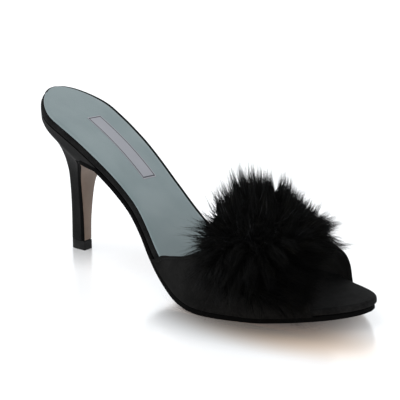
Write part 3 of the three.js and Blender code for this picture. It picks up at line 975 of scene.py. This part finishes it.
# The fur ball: a dense core that lies on the vamp, with coats of hairs grown on it
pom = {
    "centre": (158.4, -6.2, 31.4),
    "core": (24, 31, 23.5),
    "lumps": 0.07,  # the core's uneven shape: its depth, and how many lumps there are
    "lumpRate": 2.3,
    "bulge": 0.17,  # its shoulder towards the throat is fuller by this share
    "bulgeWay": (-0.64, -0.51, 0.57),
    "overVamp": 0.4,
    "nearest": -53,  # no hair reaches further to the near side than this,
    "lowest": (0.6, 0.8),  # lower, as it sags and in the end,
    "highest": 106,  # or higher
    "peakFrom": 8,  # over this height above the middle, the ball draws in towards its peak
    "peak": 0.0105,
    "tallFrom": 19,  # and over this height its hairs are longer by this share
    "tallPeak": 0.40,
    "across": (0.782, 0.623),  # the way that the ball is wide, and where its fur is parted
    "lean": -0.11,
    "fuller": 0.35,  # its hairs are longer on the throat side
    "partingAt": 8,
    "partingWidth": 3.2,
    "partingFrom": (20, 31),
    "partingFade": 5,
    "tufts": 260,
    "tuftTurn": 2.4,  # from one tuft to the next, round the ball
    "gather": 0.55,
    "gatherTo": 1.6,
}
pomCentre = Vector(pom["centre"])
pomAcross = Vector((*pom["across"], 0))


def nearVamp(point, gap):
    top = vampTop(point.x, point.y)
    return top is not None and point.x < vamp["peepX"] + vamp["furPast"] and point.z < top + gap


# Draws the ball in towards its peak
def peaked(point):
    out = point - pomCentre
    over = max(0, out.z - pom["peakFrom"])
    slim = max(0.3, 1 - pom["peak"] * over)
    return pomCentre + Vector((out.x * slim, out.y * slim, out.z)) + pomAcross * pom["lean"] * over


# How far out of the ball's middle a way reaches: 1 is on the core
def coreShare(out):
    return math.sqrt(sum((o / r) ** 2 for o, r in zip(out, pom["core"])))


# The ways out of the ball that its fur gathers along in tufts
def makeTufts():
    tufts = kdtree.KDTree(pom["tufts"])
    for i in range(pom["tufts"]):
        up = 1 - (2 * i + 1) / pom["tufts"]
        turn = pom["tuftTurn"] * i + noise.noise(Vector((i * 0.7, 0, 0)))
        wide = math.sqrt(1 - up * up)
        tufts.insert((wide * math.cos(turn), wide * math.sin(turn), up), i)
    tufts.balance()
    return tufts


tufts = makeTufts()


# Gathers one hair with its tuft, makes it longer at the peak and parts it from the others there
def groom(hair, points):
    middle = sum(points, Vector()) / len(points) - pomCentre
    tuft = tufts.find(middle.normalized())[0]
    side = math.copysign(1, middle.dot(pomAcross) - pom["partingAt"])
    for vert, point in zip(hair, points):
        out = point - pomCentre
        reach = coreShare(out)
        gather = pom["gather"] * smoothStep(1, pom["gatherTo"], reach)
        out *= 1 + pom["fuller"] * max(0, reach - 1) * max(0, -out.normalized().dot(pomAcross))
        out = peaked(pomCentre + out.normalized().lerp(tuft, gather).normalized() * out.length) - pomCentre
        out.z += pom["tallPeak"] * max(0, out.z - pom["tallFrom"])
        width = pom["partingWidth"] * smoothStep(*pom["partingFrom"], out.z)
        fade = math.exp(-abs(out.dot(pomAcross) - pom["partingAt"]) / pom["partingFade"])
        out += pomAcross * side * width * fade
        point = pomCentre + out
        point.y, point.z = max(point.y, pom["nearest"]), min(max(point.z, pom["lowest"][1]), pom["highest"])
        vert.co = outOfVamp(point, vamp["furGap"])


def throatAt(y):
    _, _, middle, half = vampSection(vamp["throatX"], 0)
    return vampSpan(vampAngle(min(max((y - middle) / half, -1), 1)))[0]


def pomCore(groomed):
    bm = bmesh.new()
    bmesh.ops.create_icosphere(bm, subdivisions=5, radius=1)
    for vert in bm.verts:
        way = vert.co.normalized()
        size = 1 + pom["lumps"] * noise.noise(way * pom["lumpRate"])
        size += pom["bulge"] * max(0, way.dot(Vector(pom["bulgeWay"])))**2
        point = Vector([c + w * r * size for c, w, r in zip(pom["centre"], way, pom["core"])])
        if groomed:
            point = peaked(point)
        if nearVamp(point, pom["overVamp"]):
            point.x = max(point.x, throatAt(point.y) + 1)
            point.z = vampTop(point.x, point.y) + pom["overVamp"]
        vert.co = point
    return bm


def makeFur(name, look):
    fur = Finish(name, **{"Specular IOR Level": look["gloss"], "Sheen Weight": look["sheen"]})
    along = fur.node("ShaderNodeAttribute", {"attribute_name": "alongHair"}, None, "Fac")
    shade = fur.node("ShaderNodeAttribute", {"attribute_name": "hairShade"}, None, "Fac")
    cloud = fur.noise(0.009, 3, 0.6)
    # painted light and shade: each hair is darker at its root and lighter towards its tip, more so on some
    # hairs; the cloud adds random tone
    light = 0.55 * along**2 * (0.3 + shade) + 0.45 * fur.limit(cloud, 0.45, 0.75)
    tip = fur.blend(fur.limit(fur.noise(0.006, 2, 0.6), 0.4, 0.65), look["tip"], look["warmTip"])
    colour = fur.blend(light, look["root"], tip)
    return fur.surface(colour, 0.5 + 0.25 * shade, fur.noise(0.0006, 2, 0.5), 0.00005, 0.4)


furLook = {
    "root": grey(0.0052),
    "tip": (0.0128, 0.0138, 0.0146, 1),
    "warmTip": (0.0165, 0.0155, 0.0105, 1),
    "gloss": 0.12,
    "sheen": 0.0,
}
blackFur = makeFur("black fur", furLook)
# a darker, less glossy copy of the black fur for the skirt that hangs under the ball over the vamp: painted
# shade
shadedSkirtLook = dict(furLook, root=grey(0.0020), tip=(0.0060, 0.0062, 0.0060, 1),
                 warmTip=(0.0095, 0.0088, 0.0062, 1), gloss=0.05)
shadedSkirtFur = makeFur("black skirt fur with painted shade", shadedSkirtLook)
# pale guard hairs, grown only on the ball's upper part: painted highlight on the lit fringe of the black fur
highlightHairLook = dict(furLook, root=grey(0.02), tip=(0.42, 0.47, 0.52, 1), warmTip=grey(0.50), gloss=0.3, sheen=0.1)
highlightGuardHair = makeFur("guard hair with painted highlight", highlightHairLook)


# One hair of a lock, as shares of the lock's length and the hair's width
hairShape = {
    "lengths": (0.75, 1.0),
    "swell": (0.8, 1.2),
    "tip": 0.12,
    "thinning": 0.85,
    "thinningPower": 1.5,
}


# One lock to grow many of: hairs that start round a small disc, bend and meet near the tip
def lockShape(spec, seed):
    random.seed(seed)
    bm = bmesh.new()
    for _ in range(spec["hairs"]):
        length = random.uniform(*hairShape["lengths"])
        turn = random.uniform(0, 2 * math.pi)
        start = Vector((math.cos(turn), math.sin(turn), 0)) * spec["spread"] * math.sqrt(random.random())
        grown = len(bm.verts)
        made = bmesh.ops.create_cone(bm, segments=3, radius1=spec["width"], depth=1, cap_ends=False,
                                     radius2=spec["width"] * hairShape["tip"])
        sides = {edge for vert in made["verts"] for edge in vert.link_edges
                 if abs(edge.verts[0].co.z - edge.verts[1].co.z) > 0.5}
        bmesh.ops.subdivide_edges(bm, edges=list(sides), cuts=spec["bends"], use_grid_fill=False)
        bm.verts.ensure_lookup_table()
        hair = bm.verts[grown:]
        lean = Vector((random.uniform(-1, 1), random.uniform(-1, 1), 0)) * spec["curl"]
        swell = random.uniform(*hairShape["swell"])
        for vert in hair:
            up = vert.co.z + 0.5
            thin = swell * (1 - hairShape["thinning"] * up ** hairShape["thinningPower"])
            centre = start * (1 - spec["gather"] * up) + lean * up**2
            vert.co = Vector((vert.co.x * thin, vert.co.y * thin, up * length * 0.999)) + centre
    along = bm.verts.layers.float.new("alongHair")
    for vert in bm.verts:
        vert[along] = min(max(vert.co.z, 0), 1)
    return bpy.data.objects.new("lock", asMesh("lock", bm))


# Where a strand that reaches a point leaves the core, or leaves the vamp
def coreFoot(point):
    out = point - pomCentre
    return pomCentre + out / max(1, coreShare(out))


def vampFoot(point):
    middle, level, _, share = vampShare(point, min(point.x, vamp["peepX"]), 0)
    reach = max(1, share)
    return Vector((point.x, middle + (point.y - middle) / reach, level + (point.z - level) / reach))


# A strand starts straight out and bends down in a curve, the more the flatter it starts
def sagged(point, foot, sag):
    strand = point - foot
    if strand.length < 0.01:
        return point
    turn = max(0.001, sag * (1 - max(0, strand.normalized().z)) ** 2 * strand.length)
    bent = foot + strand * (math.sin(turn) / turn)
    bent.z = max(pom["lowest"][0], bent.z - strand.length * (1 - math.cos(turn)) / turn)
    return bent


# The fur that hangs over the near side of the vamp
skirt = {
    "lowest": 0.10,  # angle round the vamp, in half turns
    "steps": 40,
    "inset": (1, 0.4),
    "lift": 0.3,
    "back": -23,  # its back edge, measured across the ball, and how that edge draws in downwards
    "slope": 0.25,
    "forward": 1.55,  # near the peep edge its hairs lie forward, flatter, and droop
    "flat": 0.35,
    "droop": 0.2,
    "hem": 6,  # no hair of it hangs lower than this over the floor
    "forwardFrom": (160, 180),
}


# A hair of the skirt sags too, and near the peep edge it lies forward over the edge
def layForward(hair, sag):
    for vert in hair:
        foot = vampFoot(vert.co)
        reach = (vert.co - foot).length
        lie = smoothStep(*skirt["forwardFrom"], foot.x)
        bent = foot.lerp(sagged(vert.co.copy(), foot, sag), 1 - skirt["flat"] * lie)
        bent += Vector((skirt["forward"], 0, -skirt["droop"])) * reach * lie
        bent.z = max(skirt["hem"], bent.z)
        vert.co = outOfVamp(bent, vamp["furGap"])


# Grows locks on the core, lets them sag with their own weight and lays them over the vamp
def growFur(name, core, finish, spec):
    locks = bpy.data.collections.new(name + " locks")
    for i in range(spec["shapes"]):
        locks.objects.link(lockShape(spec, spec["seed"] + i))
    tree = bpy.data.node_groups.new(name, "GeometryNodeTree")
    tree.interface.new_socket("Geometry", in_out="INPUT", socket_type="NodeSocketGeometry")
    tree.interface.new_socket("Geometry", in_out="OUTPUT", socket_type="NodeSocketGeometry")
    graph = Graph(tree)

    def chance(kind, step, inputs, output=0):
        inputs = dict(inputs, Seed=spec["seed"] + step)
        return graph.node("FunctionNodeRandomValue", {"data_type": kind}, inputs, output)

    skin = graph.node("NodeGroupInput")
    points = graph.node("GeometryNodeDistributePointsOnFaces", {"distribute_method": "RANDOM"},
                        {"Mesh": skin, "Density": spec["density"], "Seed": spec["seed"]})
    shade = chance("FLOAT", 1, {}, 1)
    shaded = graph.node("GeometryNodeStoreNamedAttribute", {"data_type": "FLOAT", "domain": "POINT"},
                        {"Geometry": points, "Name": "hairShade", "Value": shade})
    tilt = spec["tilt"]
    turn = chance("FLOAT_VECTOR", 2, {"Min": (-tilt, -tilt, -math.pi), "Max": (tilt, tilt, math.pi)})
    rotation = graph.node("FunctionNodeRotateRotation", {"rotation_space": "LOCAL"},
                          {"Rotation": points.out("Rotation"), "Rotate By": turn})
    length = chance("FLOAT", 3, {2: spec["length"][0], 3: spec["length"][1]}, 1)
    size = graph.node("ShaderNodeCombineXYZ", None, {"X": 1, "Y": 1, "Z": length})
    lock = graph.node("GeometryNodeCollectionInfo", None,
                      {"Collection": locks, "Separate Children": True, "Reset Children": True})
    grown = graph.node("GeometryNodeInstanceOnPoints", None,
                       {"Points": shaded, "Instance": lock, "Pick Instance": True, "Rotation": rotation,
                        "Scale": size})
    real = graph.node("GeometryNodeRealizeInstances", None, {"Geometry": grown})
    graph.node("NodeGroupOutput", None, {"Geometry": real})
    emitter = placed(name + " emitter", core)
    emitter.modifiers.new("fur", "NODES").node_group = tree
    depsgraph = bpy.context.evaluated_depsgraph_get()
    mesh = bpy.data.meshes.new_from_object(emitter.evaluated_get(depsgraph))
    bpy.data.objects.remove(emitter)
    for one in list(locks.objects):
        bpy.data.objects.remove(one)
    bpy.data.collections.remove(locks)
    strand = 3 * (spec["bends"] + 2)
    for first in range(0, len(mesh.vertices), strand):
        hair = mesh.vertices[first:first + strand]
        if spec["onVamp"]:
            layForward(hair, spec["sag"])
        else:
            groom(hair, [sagged(vert.co.copy(), coreFoot(vert.co), spec["sag"]) for vert in hair])
    mesh.materials.clear()
    addPiece(name, mesh, [finish], "fur", (), None)


# The faces that fur grows on, chosen by how far they are out of the ball's middle
def furField(bm, wanted):
    bare = [face for face in bm.faces if not wanted(face, face.calc_center_median() - pomCentre)]
    bmesh.ops.delete(bm, geom=bare, context="FACES")
    return asMesh("fur field", bm)


# The core, but for where it lies on the vamp
def coreField(wanted):
    def isFree(face, out):
        return wanted(out) and not all(nearVamp(vert.co, pom["overVamp"] + 0.05) for vert in face.verts)

    return furField(pomCore(False), isFree)


# The near side of the vamp, from the crest down, that the ball's longest fur lies on
def skirtField():
    bm = bmesh.new()
    bmesh.ops.create_grid(bm, x_segments=skirt["steps"], y_segments=skirt["steps"], size=0.5)
    for vert in bm.verts:
        angle = math.pi * mix(skirt["lowest"], 0.5, vert.co.y + 0.5)
        start, end = vampSpan(angle)
        x = mix(start + skirt["inset"][0], end - skirt["inset"][1], vert.co.x + 0.5)
        vert.co = vampPoint(x, angle, skirt["lift"])
    bmesh.ops.recalc_face_normals(bm, faces=bm.faces)
    if sum(face.normal.y for face in bm.faces) > 0:
        bmesh.ops.reverse_faces(bm, faces=bm.faces)

    def isAhead(_, out):
        across = out.x * pom["across"][0] + out.y * pom["across"][1]
        return across >= skirt["back"] + skirt["slope"] * max(0, -out.z)

    return furField(bm, isAhead)


coreMesh = pomCore(True)
for layer in ("alongHair", "hairShade"):
    coreMesh.verts.layers.float.new(layer)
makePiece("pompom_core", coreMesh, [blackFur], "fur", ["pompom"], None)

underFur = {"seed": 3, "shapes": 6, "hairs": 4, "spread": 1.5, "width": 0.30, "bends": 2, "curl": 0.35,
            "gather": 0.4, "density": 0.34, "tilt": 0.55, "length": (4.5, 8.0), "sag": 0.03, "onVamp": False}
longFur = dict(underFur, seed=21, spread=1.1, width=0.21, curl=0.9, gather=0.85, density=0.32, tilt=0.50,
               length=(8.0, 14.5))
wispFur = dict(underFur, seed=47, hairs=2, spread=0.5, width=0.11, curl=1.4, gather=0.6, density=0.55,
               tilt=0.70, length=(9.0, 17.0))
frontFur = dict(underFur, seed=63, spread=1.3, width=0.20, bends=4, curl=1.2, gather=0.6, density=0.80,
                tilt=0.35, length=(15.0, 27.0), sag=0.072)
skirtFur = dict(underFur, seed=75, spread=1.3, width=0.26, bends=3, curl=3.2, gather=0.7, density=0.80,
                tilt=0.9, length=(10.0, 17.0), sag=0.085, onVamp=True)
guardHair = dict(underFur, seed=80, hairs=1, spread=0.2, width=0.07, bends=3, curl=2.0, density=0.045,
                 tilt=0.35, length=(18.0, 28.0), sag=0.02)
# The front fur grows under a height over the ball's middle and past a line across it
grownOn = {"frontUnder": 12, "frontWay": (0.9, -0.44), "frontFrom": 4, "guardOver": 4}
everywhere = coreField(lambda out: True)
front = coreField(lambda out: out.z < grownOn["frontUnder"] and out.x * grownOn["frontWay"][0]
                  + out.y * grownOn["frontWay"][1] > grownOn["frontFrom"])
growFur("pompom_under_fur", everywhere, blackFur, underFur)
growFur("pompom_long_fur", everywhere, blackFur, longFur)
growFur("pompom_wisps", everywhere, blackFur, wispFur)
growFur("pompom_front_fur", front, blackFur, frontFur)
growFur("pompom_skirt", skirtField(), shadedSkirtFur, skirtFur)
growFur("pompom_guard_hairs", coreField(lambda out: out.z > grownOn["guardOver"]), highlightGuardHair, guardHair)

camera = {
    "azimuth": 38.55,
    "elevation": 16.85,
    "target": (100, 0, 30.4),
    "distance": 652.1,
    "pixelsPerMillimetre": 1.7964,
    "targetPixel": (187.22, 223.88),
    "frame": 400,
    "sensor": 36,
    "near": 0.01,
}


def addCamera():
    a, e = math.radians(camera["azimuth"]), math.radians(camera["elevation"])
    back = Vector((math.sin(a) * math.cos(e), -math.cos(a) * math.cos(e), math.sin(e)))
    data = bpy.data.cameras.new("camera")
    data.sensor_width = camera["sensor"]
    data.lens = camera["pixelsPerMillimetre"] * camera["distance"] * camera["sensor"] / camera["frame"]
    data.shift_x = (camera["frame"] / 2 - camera["targetPixel"][0]) / camera["frame"]
    data.shift_y = (camera["targetPixel"][1] - camera["frame"] / 2) / camera["frame"]
    data.clip_start = camera["near"]
    view = placed("camera", data)
    view.location = toFrame(Vector(camera["target"])) + back * camera["distance"] / 1000
    view.rotation_euler = back.to_track_quat("Z", "Y").to_euler()
    bpy.context.scene.camera = view


addCamera()

studio = {
    "tint": (0.96, 0.98, 1.0, 1),
    "wall": 1.12,  # brightness of the room's walls, which the floor mirrors, and of its ceiling
    "ceiling": 0.45,
    "wallTop": 0.45,  # sine of the height where the walls end, and of where the ceiling starts
    "ceilingFrom": 0.85,
    "aim": (0, 0, 0.05),
}
lights = {
    "key light": {"place": (-0.25, -0.15, 1.0), "size": 0.7, "power": 3.0},
    "fill light": {"place": (0.5, -1.0, 0.5), "size": 0.8, "power": 0.4},
}


def addLight(name, spec):
    data = bpy.data.lights.new(name, "AREA")
    data.shape = "DISK"
    data.size = spec["size"]
    data.energy = spec["power"]
    lamp = placed(name, data)
    lamp.location = spec["place"]
    lamp.rotation_euler = (Vector(spec["place"]) - Vector(studio["aim"])).to_track_quat("Z", "Y").to_euler()


def addRoom():
    world = bpy.data.worlds.new("studio")
    bpy.context.scene.world = world
    world.use_nodes = True
    world.node_tree.nodes.clear()
    room = Graph(world.node_tree)
    place = room.node("ShaderNodeTexCoord", None, None, "Generated")
    height = room.node("ShaderNodeSeparateXYZ", None, {"Vector": place}, "Z")
    light = room.node("ShaderNodeMapRange", {"clamp": True, "interpolation_type": "SMOOTHSTEP"},
                      {"Value": height, "From Min": studio["wallTop"], "From Max": studio["ceilingFrom"],
                       "To Min": studio["wall"], "To Max": studio["ceiling"]})
    shine = room.node("ShaderNodeBackground", None, {"Color": studio["tint"], "Strength": light})
    room.node("ShaderNodeOutputWorld", None, {"Surface": shine})


for lightName, lightSpec in lights.items():
    addLight(lightName, lightSpec)
addRoom()
bpy.context.scene.view_settings.view_transform = "Standard"


# The floor is polished where the shoe stands, and its shine fades away from there
floorLook = {
    "half": 3,
    "roughness": 0.2,
    "white": (0.94, 0.95, 0.96, 1),
    "forefoot": (149, -7, 52, 40),  # middle and half sizes of the polished places
    "heelTip": (18, 0, 8, 6),
    "forefootFade": (0.8, 1.9),  # shares of those sizes where the shine starts and stops to fade
    "heelFade": (1.0, 7.0),
    "shine": 0.76,
    "heelShine": 0.30,
    "glow": 0.30,
    "warm": (0.72, 0.50, 0.33, 1),  # painted reflection: a tan tint that stands for light coming back from the tan sole
    "soleReflectionPlace": (187, -35, 40, 18),
    "soleReflectionFade": (0.4, 2.0),
}


def makeFloor():
    constants = {"Roughness": floorLook["roughness"], "Emission Strength": floorLook["glow"]}
    finish = Finish("pale floor", **constants)

    def polish(place, fade):
        middle = toFrame(Vector((place[0], place[1], 0)))
        inputs = {"Vector": finish.place, "Location": middle, "Scale": (place[2] / 1000, place[3] / 1000, 1)}
        scaled = finish.node("ShaderNodeMapping", {"vector_type": "TEXTURE"}, inputs)
        away = finish.node("ShaderNodeVectorMath", {"operation": "LENGTH"}, {0: scaled}, "Value")
        return 1 - finish.limit(away, *fade)

    shine = floorLook["shine"] * polish(floorLook["forefoot"], floorLook["forefootFade"])
    shine = shine + floorLook["heelShine"] * polish(floorLook["heelTip"], floorLook["heelFade"])
    glow = finish.blend(shine, (1, 1, 1, 1), (0, 0, 0, 1))
    # painted reflection: near the sole the floor's colour turns tan
    warmth = polish(floorLook["soleReflectionPlace"], floorLook["soleReflectionFade"])
    colour = finish.blend(warmth, floorLook["white"], floorLook["warm"])
    finish.feed(Base_Color=colour, Metallic=shine, Emission_Color=glow)
    bm = bmesh.new()
    bmesh.ops.create_grid(bm, x_segments=1, y_segments=1, size=floorLook["half"])
    floor = placed("floor", asMesh("floor", bm))
    floor.data.materials.append(finish.material)


makeFloor()
print("studio made")
